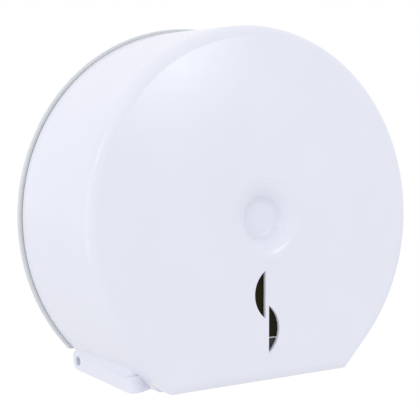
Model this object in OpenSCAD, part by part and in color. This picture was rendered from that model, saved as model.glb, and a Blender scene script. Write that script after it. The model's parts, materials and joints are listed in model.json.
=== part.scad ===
// Wall dispenser for jumbo toilet rolls: a round white cover hinged low on a round back plate,
// a free-turning hub for the roll inside, and a sprung plunger that latches the cover at the top.
// Millimetres, +Z up. The origin is on the wall face, on the axis of the roll, and the front looks along -Y.

/* [Casing] */
// Outer radius of the cover at its rear edge
cover_r = 168; // [160:1:180]
// Distance from the wall to the flat front face
casing_d = 116; // [114:1:124]
// Height of the roll's axis above the flat bottom edge of the front lip
axis_h = 134.5; // [133:0.5:140]
// Wall thickness of the cover
cover_wall = 2.8; // [2.2:0.1:3.4]
// Angle by which the side wall narrows towards the front
side_lean = 6.5; // [4:0.5:7]
// Radius of the front edge
front_edge_r = 10; // [7:0.5:13]
// Angle below the middle from which the sides run straight down to the lip
skirt_turn = 45; // [40:1:50]
// Radius of the two bottom corners at the front
corner_r = 26; // [16:1:28]
// How far the bottom lip reaches back from the front face
lip_d = 16; // [15:0.5:20]

/* [Dish] */
// Radius at which the front face starts to fall into the dish
dish_r = 33; // [31:0.5:38]
// Depth of the dish below the front face
dish_depth = 11; // [9:0.5:11]
// Angle between the foot of the dish's wall and the roll's axis
dish_slope = 32; // [28:1:38]
// Radius of the wide rounding that leads from the front face down into the dish
dish_rim_r = 20; // [14:0.5:21]

/* [Sight windows] */
// Length of each half-moon window
window_len = 39; // [30:1:44]
// Width of each half-moon window
window_w = 10.3; // [7:0.1:14]
// Distance between the two windows' straight edges
window_bar = 3.5; // [2:0.1:6]
// Distance between the middles of the two windows along the height
window_step = 28.8; // [24:0.2:32]
// Depth of the pattern's middle below the roll's axis
window_drop = 76; // [74:0.5:78]
// Height of the light ledge above the foot of the lower window
ledge_rise = 11.2; // [8:0.2:14]
// Thickness of the ledge that the lens stands on
ledge_t = 1.3; // [1:0.1:2]
// Depth of the ledge behind the front wall
ledge_d = 6; // [5:0.5:7]
// Thickness of the smoked lens
lens_t = 2; // [1.5:0.1:2.5]
// How far the lens reaches past the windows on each side
lens_lap = 5; // [4:0.5:8]
// Thickness of the dark frame that holds the lens
frame_t = 4; // [3.5:0.1:4.5]
// Width of the dark frame's sides
frame_w = 7; // [6:0.5:9]
// Height of the dark frame above the lens
frame_cap = 4; // [3:0.5:4.5]
// Radius of the pins that carry the frame
stake_r = 1.5; // [1.2:0.1:2]
// Radius of the push-on clips on those pins
clip_r = 3.2; // [2.8:0.1:3.4]

/* [Hinge lugs] */
// Height of the hinge axis above the lip's bottom edge
hinge_up = 11; // [9:0.5:12.5]
// Distance of the hinge axis from the wall
hinge_out = 9; // [9:0.5:12]
// Radius of the round heel of each lug
heel_r = 8.5; // [7.5:0.1:8.8]
// Height of the lug's top straight above the hinge axis
lug_rise = 8.4; // [8:0.1:10]
// Half of the span across the lugs' outer faces at the hinge axis
lug_half_span = 122.3; // [120:0.1:125]
// Angle by which each lug's outer face leans inwards to the front
lug_lean = 7.6; // [7:0.2:11]
// Angle by which each lug's top falls towards the front
lug_fall = 3.8; // [2:0.2:5]
// Angle by which each lug's foot falls towards the front
lug_foot_fall = 1.4; // [0.8:0.1:1.4]
// Distance from the wall to the lug's front end
lug_len = 96; // [86:1:98]
// Angle by which each lug's front end slants back towards the casing
lug_end_slant = 19; // [0:1:30]
// Radius of each lug's front corner, seen from above
lug_corner_r = 8.5; // [5:0.5:12]
// Wall thickness of the lugs
lug_wall = 3; // [2.4:0.1:3.4]
// Rounding radius of the lug's top edge and front end
lug_edge_r = 5; // [3:0.5:6]
// Rounding radius of the lug's bottom edge
lug_foot_r = 2.4; // [1:0.2:3]
// Radius of the hinge pins
pin_r = 3; // [2.5:0.1:3.5]
// Outer radius of the hinge bushes
bush_r = 5; // [4.2:0.1:5.6]
// Radius of the pin hole's mouth in the lug's outer face
pin_mouth_r = 3.9; // [3.6:0.1:4.1]
// Depth of the pin hole's mouth
pin_mouth_d = 7.5; // [5:0.5:9]
// Width of the back plate's hinge ears
ear_w = 10.6; // [9:0.2:12]
// Distance from the middle to the outer faces of the ears
ear_out = 92.7; // [90:0.5:94]

/* [Tear strips] */
// Length of each serrated strip
strip_len = 62; // [50:1:62]
// Thickness of the serrated strips
strip_t = 1.2; // [0.8:0.1:1.6]
// Distance from one tooth to the next
tooth_pitch = 3.1; // [2.4:0.1:5]
// Height of the teeth below the lug
tooth_h = 2.2; // [1.5:0.1:2.4]
// Width of the strips' mounting flange
strip_flange_w = 8; // [7:0.5:9]
// Radius of the rivets' shanks
rivet_r = 1.2; // [1:0.1:1.5]

/* [Back plate] */
// Thickness of the back plate's sheet
plate_t = 3; // [2.4:0.1:3.4]
// Height of the plate's rim above the wall
rim_h = 3.7; // [3.5:0.1:4.5]
// How far the plate's rim stands out past the cover
rim_out = 3; // [1.5:0.5:5]
// Gap between the plate's rim and the cover's rear edge
seam_gap = 0.9; // [0.5:0.1:0.9]
// Height above the wall of the ring that locates the cover
ring_h = 9; // [7:0.5:10]
// Thickness of the locating ring
ring_t = 2.5; // [2:0.1:3]
// Gap between the locating ring and the cover's inside
ring_gap = 1.2; // [0.8:0.1:1.5]
// Height above the wall of the plate's stiffening ribs
rib_h = 6; // [5:0.5:7]
// Thickness of the stiffening ribs
rib_t = 2.4; // [2:0.1:3]
// Number of radial ribs
rib_count = 8; // [8:4:8]
// Radius of the round stiffening rib
rib_ring_r = 90; // [80:1:95]
// Distance between the wall screw holes across the plate
wall_hole_x = 200; // [190:1:210]
// Distance between the wall screw holes up the plate
wall_hole_z = 160; // [150:1:170]
// Radius of the wall screw holes
wall_hole_r = 2.75; // [2.25:0.25:3.25]
// Height above the wall of the pads round those holes
wall_pad_h = 5; // [4.5:0.5:7]
// Depth of the flange along the plate's bottom edge
foot_flange_d = 8; // [6:0.5:10]

/* [Roll hub] */
// Outer radius of the hub, for a core of 57 mm bore or more
hub_r = 27.5; // [26:0.5:28]
// Radius of the hub's rear flange
hub_flange_r = 42; // [38:1:48]
// Thickness of the hub's rear flange
hub_flange_t = 2.6; // [2:0.1:3]
// Wall thickness of the hub
hub_wall = 2.5; // [2:0.1:3]
// Length of the solid ends that hold the bushes
hub_web = 12; // [10:0.5:14]
// Number of grip grooves along the hub
groove_count = 6; // [6:1:8]
// Width of a grip groove
groove_w = 3; // [2:0.5:3.5]
// Depth of a grip groove
groove_d = 1; // [0.6:0.1:1.2]
// Radius of the spindle
spindle_r = 8; // [7:0.5:9]
// Distance from the spindle's end to the front face
nose_gap = 19; // [18.5:0.5:21]
// Radius of the spindle's foot
spindle_foot_r = 27; // [26:0.5:29]
// Thickness of the spindle's foot
spindle_foot_t = 3; // [2.5:0.1:3.5]
// Height above the wall of the pad under the spindle
spindle_pad_h = 6; // [5.5:0.5:6.5]
// Radius of the circle on which the foot's screws stand
foot_screw_circle_r = 20.5; // [20:0.5:21]
// Radius of the foot screws' shanks
foot_screw_r = 1.9; // [1.5:0.1:2.2]
// Radius of the foot screws' heads
foot_screw_head_r = 3.4; // [3:0.1:3.6]
// Wall thickness of the hub's bushes
hub_bush_t = 3; // [2.5:0.1:3.5]
// Thickness of the bushes' flanges
hub_bush_flange_t = 1.6; // [1.2:0.1:1.8]
// Thickness of the steel washers
washer_t = 1.2; // [1:0.1:1.4]

/* [Latch] */
// Width of the plunger's head
plunger_w = 15; // [12:0.5:16]
// Depth of the plunger's head from front to back
plunger_d = 6; // [5:0.5:6.5]
// Distance from the wall to the middle of the plunger's head
plunger_out = 15; // [15:0.5:17]
// Play of the plunger's head in the cover's slot
plunger_play = 0.5; // [0.3:0.1:0.8]
// How far the plunger's head lies below the top of the cover
plunger_sink = 0.5; // [0.3:0.1:1]
// Length of the plunger's head above its shoulder
plunger_head_h = 14.6; // [13:0.2:16]
// Height of the plunger's shoulder
shoulder_h = 9.7; // [9:0.1:11]
// How far the shoulder stands out on each side
shoulder_out = 2.5; // [2:0.1:3]
// Travel of the plunger
plunger_travel = 5.5; // [4.5:0.5:6]
// Free space under the shoulder at the end of its travel
travel_spare = 5; // [3:0.5:6]
// Wall thickness of the latch housing
housing_wall = 2.4; // [2:0.1:3]
// Width of the housing's screw ears
housing_ear_w = 7.5; // [7:0.5:9]
// Radius of the latch screws' shanks
latch_screw_r = 1.7; // [1.4:0.1:2]
// Radius of the latch screws' heads
latch_screw_head_r = 3; // [2.6:0.1:3.3]
// Mean radius of the spring's coils
spring_r = 2.8; // [2.2:0.1:3]
// Radius of the spring's wire
spring_wire_r = 0.4; // [0.3:0.05:0.5]
// Number of turns of the spring
spring_turns = 8; // [6:1:9]

/* [Fits] */
// Play in radius between a turning pin and its hole
run_gap = 0.05; // [0.02:0.01:0.08]
// Gap between seated pieces that don't move
seat_gap = 0.05; // [0.02:0.01:0.1]
// Gap between flat faces that pass each other
slide_gap = 0.3; // [0.2:0.05:0.5]

/* [Hidden] */
$fn = 96;

// Larger than any piece, for cuts that pass right through
beyond = 400;
// Overlap of two forms that are one moulding
bond = 0.5;
// Angle of the lip's rounded front edge, and the number of flats that it is made of
lip_turn = 86;
lip_flats = 10;

// Casing
hinge_drop = axis_h - hinge_up;
spindle_end = casing_d - nose_gap;
cover_back = rim_h + seam_gap;
edge_centre_out = casing_d - front_edge_r;
skirt_len = 100;
lug_foot = hinge_drop + heel_r;
lug_top = lug_rise - hinge_drop + hinge_out * tan(lug_fall);
foot_spare = 0.3;
lug_root = 45;
lip_back = casing_d - lip_d;

// Dish
dish_floor = casing_d - dish_depth;
dish_flats = 4;
dish_edge_dip = 0.1;
dish_round_y = casing_d - dish_rim_r - dish_edge_dip;

// Sight windows: a circle that gives each half-moon its length and width
window_r = (window_len * window_len / 4 + window_w * window_w) / (2 * window_w);
window_foot = -window_drop - window_step / 2 - window_len / 2;
window_head = -window_drop + window_step / 2 + window_len / 2;
window_half_span = window_bar / 2 + window_w;
front_inside = casing_d - cover_wall;
ledge_top = window_foot + ledge_rise + ledge_t;
lens_half_w = window_half_span + lens_lap;
lens_top = window_head + lens_lap;
frame_half_w = lens_half_w + frame_w;
frame_top = lens_top + frame_cap;
frame_foot = window_foot - lens_lap;
frame_bore_half_w = window_half_span + 1.5;
stake_x = lens_half_w + frame_w / 2;
stake_low = ledge_top - ledge_t - 6;
stake_high = lens_top - 6;
clip_t = 0.8;
stake_len = frame_t + 2 * clip_t;

// Hinge
knuckle_len = hinge_out + heel_r + 1;
knuckle_in = ear_out + 2 * slide_gap;
wall_play = 0.5;
mouth_bottom = lug_half_span - pin_mouth_d;
notch_top = lug_top + 1.3;
pin_head_r = pin_r + 2;
pin_head_t = 2.5;

// Tear strips
strip_in = lug_wall + 2.6;
strip_flange_t = 1.4;
strip_start = knuckle_len + 4;
rivet_head_r = 2 * rivet_r;
rivet_head_t = 1.1;
rivet_inset = 9;
teeth = floor(strip_len / tooth_pitch);

// Back plate
plate_r = cover_r + rim_out;
cover_inside_r = cover_r - cover_wall / cos(side_lean);
ring_out_r = cover_inside_r - ring_gap;
ring_end = lug_top + 6.5;
rib_start = spindle_foot_r + 2;
wall_pad_r = 9;
spindle_pad_r = spindle_foot_r + 2;

// Roll hub, from the wall outwards
foot_top = spindle_pad_h + spindle_foot_t;
washer_top = foot_top + seat_gap + washer_t;
bush_back = washer_top + 2 * run_gap;
hub_back = bush_back + hub_bush_flange_t + seat_gap;
hub_front = spindle_end - slide_gap - seat_gap - hub_bush_flange_t;
hub_shoulder = hub_back + hub_flange_t + seat_gap;
hub_spigot_r = hub_r - 1.5;
groove_start = 4;
groove_turn = 20;
hub_bush_r = spindle_r + run_gap + hub_bush_t;
hub_bush_flange_r = hub_bush_r + 3;
retainer_r = hub_bush_flange_r - 1;
retainer_back = spindle_end + seat_gap;
retainer_top = retainer_back + washer_t;
retainer_screw_r = 2;
retainer_head_r = 4;
retainer_head_t = 2.2;
retainer_depth = 18;
foot_screw_head_t = 1.8;
foot_screw_depth = 4.4;

// Latch, from the top of the cover downwards
plunger_reach = cover_r - tan(side_lean) * (plunger_out - cover_back);
plunger_top = plunger_reach - plunger_sink;
shoulder_top = plunger_top - plunger_head_h;
shoulder_foot = shoulder_top - shoulder_h;
housing_roof = shoulder_top + slide_gap;
housing_top = housing_roof + housing_wall;
housing_floor = shoulder_foot - plunger_travel - travel_spare;
housing_foot = housing_floor - housing_wall;
latch_pad_h = 4.5;
shoulder_half_w = plunger_w / 2 + shoulder_out;
shoulder_front = plunger_out + plunger_d / 2 + 1;
shoulder_back = latch_pad_h + slide_gap;
channel_half_w = shoulder_half_w + slide_gap;
channel_front = shoulder_front + slide_gap;
housing_half_w = channel_half_w + housing_wall;
housing_front = channel_front + housing_wall;
housing_ear_t = 3.5;
latch_screw_x = housing_half_w + housing_ear_w / 2;
latch_screw_head_t = 2;
latch_screw_depth = 3.4;
spring_out = 12;
spring_well_r = spring_r + spring_wire_r + 0.6;
spring_well_d = 6.5;
spring_foot = housing_floor + spring_wire_r + slide_gap / 2;
spring_head = shoulder_foot + spring_well_d - spring_wire_r - slide_gap / 2;

white = "#eceef6";
plate_grey = "#dcdfe4";
hub_grey = "#c9ccd0";
steel = "#a9adb2";
acetal = "#f4f4f0";
smoke = [0.09, 0.08, 0.03, 0.9];
black = "#1c1d1c";

// Places a form drawn in wall coordinates: x across, y up and z out from the wall
module off_wall() {
    rotate([90, 0, 0])
        children();
}

// In wall coordinates, extrudes an outline of (out, up) points across the whole width
module across(width) {
    rotate([0, -90, 0])
        linear_extrude(height = width, center = true)
            children();
}

// Extrudes an outline of (across, out) points from one height to another
module upright(low, high) {
    translate([0, high, 0])
        rotate([90, 0, 0])
            linear_extrude(height = high - low)
                children();
}

// A box between two corners
module block(low, high) {
    translate(low)
        cube(high - low);
}

module both_sides() {
    children();
    mirror([1, 0, 0])
        children();
}

// Half section of the casing, inset from its outer face by a wall thickness
module casing_section(inset) {
    slope = tan(side_lean);
    fillet_r = front_edge_r - inset;
    back_r = cover_r - inset / cos(side_lean) + slope * (inset > 0 ? bond : 0);
    back = cover_back - (inset > 0 ? bond : 0);
    centre_r = cover_r - slope * (edge_centre_out - cover_back) - front_edge_r / cos(side_lean);
    union() {
        polygon([
            [0, back],
            [back_r, back],
            [centre_r + fillet_r * cos(side_lean), edge_centre_out + fillet_r * sin(side_lean)],
            [centre_r, edge_centre_out],
            [centre_r, casing_d - inset],
            [0, casing_d - inset]
        ]);
        translate([centre_r, edge_centre_out])
            circle(r = fillet_r);
    }
}

// The casing's form, shrunk by a wall thickness: round at the top, with straight sides below
module casing_form(inset) {
    rotate([0, 0, -skirt_turn])
        rotate_extrude(angle = 180 + 2 * skirt_turn)
            casing_section(inset);
    both_sides()
        rotate([0, 0, -skirt_turn])
            rotate([90, 0, 0])
                linear_extrude(height = skirt_len)
                    casing_section(inset);
}

// Points of the lip's rounded front edge, from its underside to short of the front face
function lip_edge(r) = [
    for (i = [0 : lip_flats])
        let (turn = 270 + i * (lip_turn / lip_flats))
        [edge_centre_out + r * cos(turn), front_edge_r - axis_h + r * sin(turn)]
];

// Waste below the cover, as (out, up) points: it leaves the heels, the lug feet and the lip
module cover_side_waste() {
    translate([-beyond, -beyond])
        square([2 * beyond, beyond - axis_h]);
    polygon([
        [-beyond, -beyond],
        [lip_back, -beyond],
        [lip_back, -lug_foot - (lip_back - hinge_out) * tan(lug_foot_fall)],
        [hinge_out, -lug_foot],
        [-beyond, -lug_foot]
    ]);
    difference() {
        translate([-beyond, -beyond])
            square([beyond + hinge_out, beyond - hinge_drop]);
        translate([hinge_out, -hinge_drop])
            circle(r = heel_r);
    }
    polygon(concat(
        [[casing_d + beyond, 0], [casing_d + beyond, -beyond], [edge_centre_out, -beyond]],
        lip_edge(front_edge_r),
        [[casing_d, 0]]
    ));
}

// Side view of the cover's hollow: open at the bottom behind the lip
module hollow_side_view() {
    translate([-beyond, -beyond])
        square([lip_back + beyond, 2 * beyond]);
    polygon(concat(
        [[casing_d, beyond], [lip_back - bond, beyond], [lip_back - bond, cover_wall - axis_h]],
        lip_edge(front_edge_r - cover_wall),
        [[casing_d, 0]]
    ));
}

// Radius at which a straight slope that starts at a (radius, out) point reaches a level
function slope_foot(start, level) = start[0] - (start[1] - level) * tan(dish_slope);

// Section of the dish that is sunk into the front face
module dish_section() {
    tangent = [
        dish_r - dish_rim_r * cos(dish_slope),
        dish_round_y + dish_rim_r * sin(dish_slope)
    ];
    difference() {
        polygon([
            [0, casing_d + 1],
            [dish_r, casing_d + 1],
            [dish_r, casing_d],
            tangent,
            [slope_foot(tangent, dish_floor), dish_floor],
            [0, dish_floor]
        ]);
        translate([dish_r, dish_round_y])
            circle(r = dish_rim_r);
    }
}

// Section of the dish's back, a wall thickness behind it, whose rounding is cut into flats
module dish_back_section() {
    round_r = dish_rim_r - cover_wall;
    edge = [
        for (i = [0 : dish_flats])
            let (turn = i * (90 - dish_slope) / dish_flats)
            [dish_r - round_r * sin(turn), front_inside - round_r * (1 - cos(turn))]
    ];
    back = dish_floor - cover_wall;
    polygon(concat(
        [[0, casing_d], [dish_r, casing_d]],
        edge,
        [[slope_foot(edge[dish_flats], back), back], [0, back]]
    ));
}

// Waste outside one rounded bottom corner of the lip
module corner_waste() {
    start = lip_back - 3;
    start_r = cover_r - tan(side_lean) * (start - cover_back);
    reach = start_r - corner_r;
    centre_up = corner_r - axis_h;
    along = -(centre_up + reach * sin(skirt_turn)) / cos(skirt_turn);
    centre_x = reach * cos(skirt_turn) - along * sin(skirt_turn);
    turn = -skirt_turn;
    translate([0, 0, start])
        linear_extrude(height = lip_d + 4)
            difference() {
                polygon([
                    [centre_x, centre_up],
                    [centre_x + 2 * corner_r * cos(turn), centre_up + 2 * corner_r * sin(turn)],
                    [centre_x + 2 * corner_r, centre_up - 2 * corner_r],
                    [centre_x, centre_up - 2 * corner_r]
                ]);
                translate([centre_x, centre_up])
                    circle(r = corner_r);
            }
}

// End view of a lug, drawn down and inwards from its outer face, with its top edge rounded
module lug_top_view(inset) {
    top = lug_rise - inset;
    round_r = max(lug_edge_r - inset, 0.5);
    translate([-lug_root, -lug_root])
        square([lug_root - inset, lug_root + top - round_r]);
    translate([-lug_root, 0])
        square([lug_root - inset - round_r, top]);
    translate([-inset - round_r, top - round_r])
        circle(r = round_r);
}

// End view of a lug with its bottom edge rounded
module lug_foot_view(inset) {
    foot = inset > 0 ? inset - heel_r : -heel_r - foot_spare;
    round_r = max(lug_foot_r - inset, 0.5);
    translate([-lug_root, foot + round_r])
        square([lug_root - inset, lug_root]);
    translate([-lug_root, foot])
        square([lug_root - inset - round_r, lug_root]);
    translate([-inset - round_r, foot + round_r])
        circle(r = round_r);
}

// Plan of a lug as (across, out) points, with a slanting front end and a rounded corner
module lug_plan(inset) {
    round_r = max(lug_corner_r - inset, 0.5);
    centre_x = -inset - round_r;
    centre_out = lug_len - (inset + round_r) / cos(lug_end_slant) + centre_x * tan(lug_end_slant);
    polygon([
        [-lug_root, -lug_root],
        [-inset, -lug_root],
        [-inset, centre_out],
        [centre_x, centre_out],
        [centre_x - round_r * sin(lug_end_slant), centre_out + round_r * cos(lug_end_slant)],
        [-lug_root, lug_len - inset / cos(lug_end_slant) - lug_root * tan(lug_end_slant)]
    ]);
    translate([centre_x, centre_out])
        circle(r = round_r);
}

// Right lug as a solid, shrunk on all sides by a wall thickness
module lug_form(inset) {
    intersection() {
        in_lug_frame(lug_fall)
            translate([0, 0, -lug_root])
                linear_extrude(height = lug_len + 2 * lug_root)
                    lug_top_view(inset);
        in_lug_frame(lug_foot_fall)
            translate([0, 0, -lug_root])
                linear_extrude(height = lug_len + 2 * lug_root)
                    lug_foot_view(inset);
        in_lug_frame(0)
            upright(-lug_root, lug_root)
                lug_plan(inset);
    }
}

// Side view of a lug's rear, whose rounded top clears the plate's rim when the cover turns
module lug_rear_view() {
    rear_r = cover_back - wall_play;
    rear_top = lug_top - cover_back * tan(lug_fall);
    translate([wall_play, -beyond])
        square([beyond, beyond + rear_top - rear_r]);
    translate([cover_back, -beyond])
        square([beyond, 2 * beyond]);
    translate([cover_back, rear_top - rear_r])
        circle(r = rear_r);
}

// Right lug as a solid, kept off the wall, the plate and its ear
module lug_block() {
    intersection() {
        lug_form(0);
        union() {
            block([0, -beyond, cover_back], [beyond, beyond, beyond]);
            intersection() {
                block([knuckle_in, -beyond, wall_play], [beyond, beyond, knuckle_len]);
                across(2 * beyond)
                    lug_rear_view();
            }
        }
    }
}

// Solid rear part of the right lug, round the hinge pin
module knuckle() {
    intersection() {
        lug_block();
        block([knuckle_in, -beyond, 0], [beyond, beyond, knuckle_len]);
    }
}

// Hollow of the right lug
module lug_hollow() {
    intersection() {
        lug_form(lug_wall);
        block([0, -beyond, knuckle_len - bond], [beyond, beyond, beyond]);
    }
}

// Pin hole through a lug: a bush seat from the inside and a narrower mouth outside
module knuckle_bore() {
    translate([0, -hinge_drop, hinge_out])
        rotate([0, 90, 0]) {
            cylinder(r = bush_r + seat_gap, h = mouth_bottom);
            cylinder(r = pin_mouth_r, h = beyond);
        }
}

// Slot in the lug's floor for the serrated strip, and its rivet holes
module strip_cuts() {
    in_lug_frame(lug_foot_fall) {
        block(
            [-strip_in - strip_t - seat_gap, -20, strip_start - seat_gap],
            [-strip_in + seat_gap, -heel_r + lug_wall + 1, strip_start + strip_len + seat_gap]
        );
        for (out = rivet_places())
            translate([rivet_across(), -20, out])
                rotate([-90, 0, 0])
                    cylinder(r = rivet_r + seat_gap, h = 20, $fn = 32);
    }
}

// Right lug's own frame, falling by an angle: x from its outer face, y from the hinge axis, z along it
module in_lug_frame(fall) {
    translate([lug_half_span, -hinge_drop, hinge_out])
        rotate([fall, -lug_lean, 0])
            translate([0, 0, -hinge_out])
                children();
}

function rivet_places() = [strip_start + rivet_inset, strip_start + strip_len - rivet_inset];
function rivet_across() = -strip_in - strip_t - (strip_flange_w - strip_t) / 2 - 0.4;

// One half-moon: the part of a circle past a straight edge
module half_moon() {
    intersection() {
        translate([window_r - window_w, 0])
            circle(r = window_r);
        translate([-window_w - 1, -window_len])
            square([window_w + 1, 2 * window_len]);
    }
}

// The two half-moon windows, one turned end for end
module windows() {
    translate([0, -window_drop, front_inside - 1])
        linear_extrude(height = cover_wall + 2)
            for (turn = [0, 180])
                rotate(turn)
                    translate([-window_bar / 2, window_step / 2])
                        half_moon();
}

function stake_points() = [for (x = [-stake_x, stake_x], y = [stake_low, stake_high]) [x, y]];

// Ledge under the lens and the four pins for its frame
module lens_seat() {
    block(
        [-lens_half_w, ledge_top - ledge_t, front_inside - ledge_d],
        [lens_half_w, ledge_top, casing_d - 1]
    );
    for (p = stake_points())
        translate([p[0], p[1], front_inside - stake_len])
            cylinder(r = stake_r, h = stake_len + 1, $fn = 32);
}

module cover_shell() color(white) off_wall()
    difference() {
        union() {
            difference() {
                union() {
                    casing_form(0);
                    both_sides()
                        lug_block();
                }
                difference() {
                    intersection() {
                        casing_form(cover_wall);
                        across(2 * beyond)
                            hollow_side_view();
                    }
                    rotate_extrude()
                        dish_back_section();
                }
                both_sides()
                    lug_hollow();
                both_sides()
                    corner_waste();
                rotate_extrude()
                    dish_section();
            }
            both_sides()
                knuckle();
            lens_seat();
        }
        across(2 * beyond)
            cover_side_waste();
        both_sides()
            knuckle_bore();
        both_sides()
            strip_cuts();
        windows();
        plunger_slot();
    }

// Slot in the top of the cover for the plunger's head
module plunger_slot() {
    half_w = plunger_w / 2 + plunger_play;
    half_d = plunger_d / 2 + plunger_play;
    block([-half_w, 0, plunger_out - half_d], [half_w, beyond, plunger_out + half_d]);
}

// Smoked lens, standing on the ledge
module sight_lens() color(smoke) off_wall()
    block(
        [-lens_half_w + 1, ledge_top + seat_gap, front_inside - lens_t - seat_gap],
        [lens_half_w - 1, lens_top, front_inside - seat_gap]
    );

// Dark frame behind the lens, closed below the ledge
module lens_frame() color(black) off_wall()
    difference() {
        block(
            [-frame_half_w, frame_foot, front_inside - frame_t - seat_gap],
            [frame_half_w, frame_top, front_inside - seat_gap]
        );
        block(
            [-lens_half_w, ledge_top - ledge_t - seat_gap, front_inside - lens_t - 2 * seat_gap],
            [lens_half_w, lens_top + seat_gap, casing_d]
        );
        block(
            [-lens_half_w - seat_gap, ledge_top - ledge_t - seat_gap, front_inside - ledge_d - 1],
            [lens_half_w + seat_gap, ledge_top + seat_gap, casing_d]
        );
        block(
            [-frame_bore_half_w, ledge_top - ledge_t, front_inside - 2 * frame_t],
            [frame_bore_half_w, lens_top - lens_lap / 2, casing_d]
        );
        for (p = stake_points())
            translate([p[0], p[1], front_inside - 2 * frame_t])
                cylinder(r = stake_r + seat_gap, h = 3 * frame_t, $fn = 32);
    }

// Push-on clips that hold the frame on its pins
module lens_clips() color(steel) off_wall()
    for (p = stake_points())
        translate([p[0], p[1], front_inside - frame_t - clip_t - 2 * seat_gap])
            difference() {
                cylinder(r = clip_r, h = clip_t, $fn = 48);
                translate([0, 0, -1])
                    cylinder(r = stake_r + seat_gap, h = clip_t + 2, $fn = 32);
            }

module hinge_bush() color(acetal) off_wall()
    translate([knuckle_in + slide_gap, -hinge_drop, hinge_out])
        rotate([0, 90, 0])
            difference() {
                cylinder(r = bush_r, h = mouth_bottom - knuckle_in - slide_gap - seat_gap);
                translate([0, 0, -1])
                    cylinder(r = pin_r + run_gap, h = beyond);
            }

module hinge_bush_left()
    mirror([1, 0, 0])
        hinge_bush();

module hinge_bush_right()
    hinge_bush();

// Steel pin, headed against the inner face of its ear and ending inside the lug
module hinge_pin() color(steel) off_wall()
    translate([ear_out - ear_w, -hinge_drop, hinge_out])
        rotate([0, 90, 0]) {
            translate([0, 0, -pin_head_t - seat_gap])
                cylinder(r = pin_head_r, h = pin_head_t);
            translate([0, 0, -pin_head_t])
                cylinder(r = pin_r, h = mouth_bottom - ear_out + ear_w + pin_head_t);
        }

module hinge_pin_left()
    mirror([1, 0, 0])
        hinge_pin();

module hinge_pin_right()
    hinge_pin();

// Serrated blade with a flange that lies on the lug's floor
module tear_strip() color(white) off_wall() in_lug_frame(lug_foot_fall) {
    floor_up = -heel_r + lug_wall;
    foot = -heel_r;
    difference() {
        union() {
            block(
                [-strip_in - strip_flange_w, floor_up + seat_gap, strip_start],
                [-strip_in, floor_up + seat_gap + strip_flange_t, strip_start + strip_len]
            );
            translate([-strip_in - strip_t / 2, 0, 0])
                across(strip_t)
                    tooth_outline(foot, floor_up + seat_gap + strip_flange_t / 2);
        }
        for (out = rivet_places())
            translate([rivet_across(), floor_up - 1, out])
                rotate([-90, 0, 0])
                    cylinder(r = rivet_r + seat_gap, h = 10, $fn = 32);
    }
}

// Blade seen from the side: a straight back and a row of pointed teeth
module tooth_outline(foot, top) {
    difference() {
        translate([strip_start, foot - tooth_h])
            square([strip_len, top - foot + tooth_h]);
        for (i = [0 : teeth - 1])
            translate([strip_start + (i + 0.5) * strip_len / teeth, foot - tooth_h])
                polygon([[-tooth_pitch / 2 + 0.2, -0.1], [tooth_pitch / 2 - 0.2, -0.1], [0, tooth_h - 0.3]]);
    }
}

module tear_strip_left()
    mirror([1, 0, 0])
        tear_strip();

module tear_strip_right()
    tear_strip();

module tear_strip_rivets() color(steel) off_wall()
    both_sides()
        in_lug_frame(lug_foot_fall)
            for (out = rivet_places())
                translate([rivet_across(), -heel_r + seat_gap, out])
                    rotate([-90, 0, 0]) {
                        cylinder(r = rivet_r, h = lug_wall + strip_flange_t + bond, $fn = 32);
                        translate([0, 0, lug_wall + strip_flange_t + seat_gap])
                            cylinder(r = rivet_head_r, h = rivet_head_t, $fn = 32);
                    }

// Outline of the back plate with its flat foot and the two notches for the lugs
module plate_outline(r) {
    difference() {
        circle(r = r, $fn = 192);
        translate([-beyond, -beyond - lug_foot])
            square([2 * beyond, beyond]);
        both_sides()
            translate([ear_out, -beyond])
                square([beyond, beyond + notch_top]);
    }
}

// Rim of the plate with a rounded front edge
module plate_rim() {
    edge = 1;
    inner = ring_out_r - ring_t;
    intersection() {
        rotate_extrude($fn = 192) {
            translate([inner, 0])
                square([plate_r - edge - inner, rim_h]);
            translate([inner, 0])
                square([plate_r - inner, rim_h - edge]);
            translate([plate_r - edge, rim_h - edge])
                circle(r = edge, $fn = 32);
        }
        linear_extrude(height = rim_h)
            plate_outline(plate_r + 1);
    }
}

// Ring that the cover closes over, left out at the lugs
module locating_ring() {
    intersection() {
        rotate_extrude($fn = 192)
            translate([ring_out_r - ring_t, plate_t - bond])
                square([ring_t, ring_h - plate_t + bond]);
        block([-beyond, ring_end, 0], [beyond, beyond, ring_h]);
    }
}

module plate_ribs() {
    rib_reach = ring_out_r - 1;
    intersection() {
        union() {
            for (i = [0 : rib_count - 1])
                rotate([0, 0, (i + 0.5) * 360 / rib_count])
                    block([rib_start, -rib_t / 2, plate_t - bond], [rib_reach, rib_t / 2, rib_h]);
            rotate_extrude()
                translate([rib_ring_r - rib_t / 2, plate_t - bond])
                    square([rib_t, rib_h - plate_t + bond]);
        }
        linear_extrude(height = rib_h)
            plate_outline(ring_out_r - ring_t / 2);
    }
}

function wall_hole_points() = [for (x = [-0.5, 0.5], y = [-0.5, 0.5]) [x * wall_hole_x, y * wall_hole_z]];

// Ear that holds the hinge pin on the right side of the plate
module hinge_ear() {
    translate([ear_out - ear_w / 2, 0, 0])
        across(ear_w) {
            translate([hinge_out, -hinge_drop])
                circle(r = heel_r);
            translate([0, -lug_foot])
                square([hinge_out, 2 * heel_r]);
        }
}

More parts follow.
